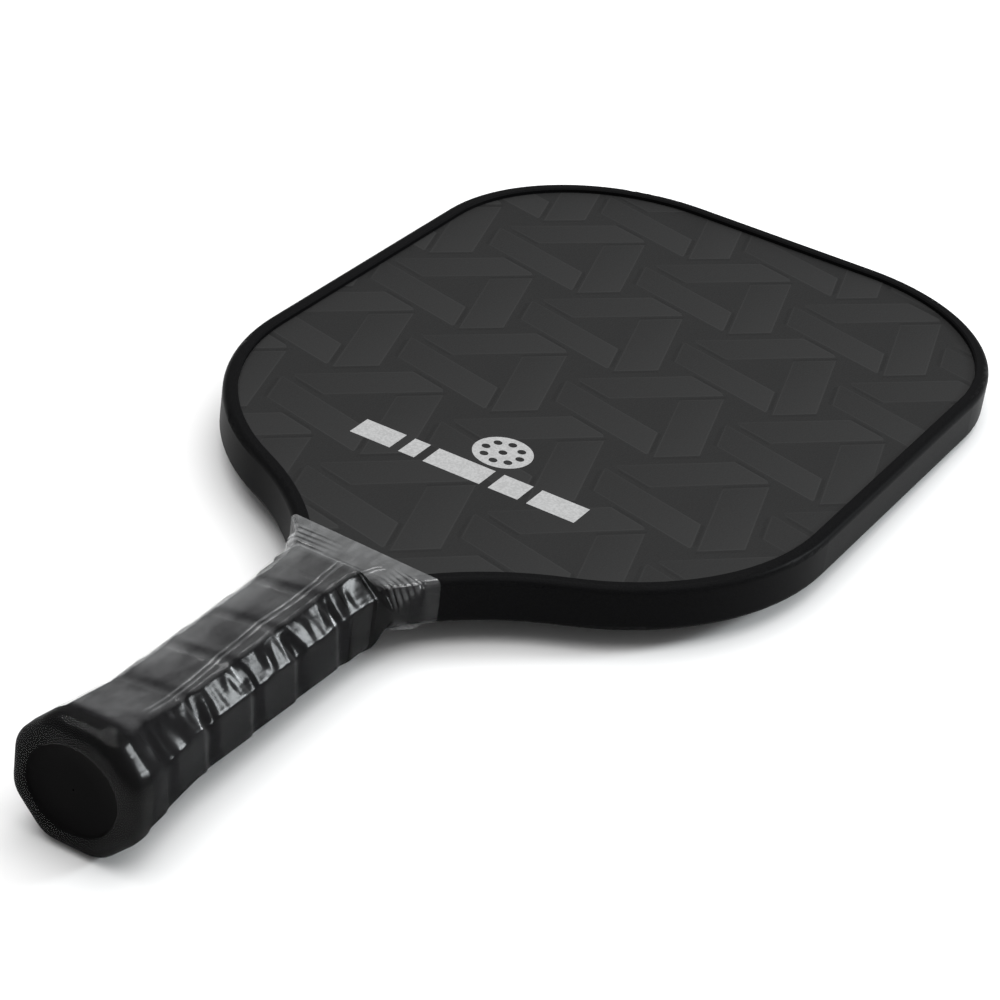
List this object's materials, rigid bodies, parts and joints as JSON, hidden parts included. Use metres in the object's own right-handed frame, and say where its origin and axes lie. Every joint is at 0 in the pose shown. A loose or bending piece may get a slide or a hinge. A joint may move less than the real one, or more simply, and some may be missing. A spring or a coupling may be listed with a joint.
{
  "type": "pickleball paddle",
  "caption": "Flat rounded-square honeycomb paddle with a moulded edge guard and a wrapped octagonal handle under a clear shrink sleeve.",
  "frame": {"origin": "centre of the butt cap's end face, on the handle's axis and in the blade's middle plane", "axes": "+X along the handle from the butt to the blade's tip, +Z out of the front face, +Y across the blade"},
  "size_m": [0.4064, 0.1964, 0.0382],
  "materials": {
    "core_polymer": "extruded polypropylene",
    "veil": "non-woven polyester",
    "face_laminate": "fibreglass laminate",
    "graphic_film": "fine woven texture, satin",
    "mark_print": "light grey print",
    "adhesive": "cured epoxy",
    "pallet_foam": "moulded rigid foam",
    "guard_plastic": "satin",
    "bonding_tape": "acrylic foam",
    "cap_plastic": "fine matte",
    "staple_steel": "galvanised",
    "underlay": "cloth tape",
    "grip_leather": "smooth polyurethane",
    "finishing_tape": "vinyl",
    "shrink_film": "clear shrink film"
  },
  "bodies": {
    "root": {"honeycomb_core": "core_polymer", "front_core_veil": "veil", "back_core_veil": "veil", "front_face_sheet": "face_laminate", "back_face_sheet": "face_laminate", "front_graphic_film": "graphic_film", "back_graphic_film": "graphic_film", "front_mark": "mark_print", "back_mark": "mark_print", "front_pallet_adhesive": "adhesive", "back_pallet_adhesive": "adhesive", "front_handle_pallet": "pallet_foam", "back_handle_pallet": "pallet_foam", "edge_guard": "guard_plastic", "edge_guard_tape": "bonding_tape", "butt_cap": "cap_plastic", "butt_cap_staples": "staple_steel", "grip_underlay_tape": "underlay", "grip_wrap": "grip_leather", "grip_finishing_tape": "finishing_tape", "shrink_sleeve": "shrink_film"}
  },
  "joints": []
}
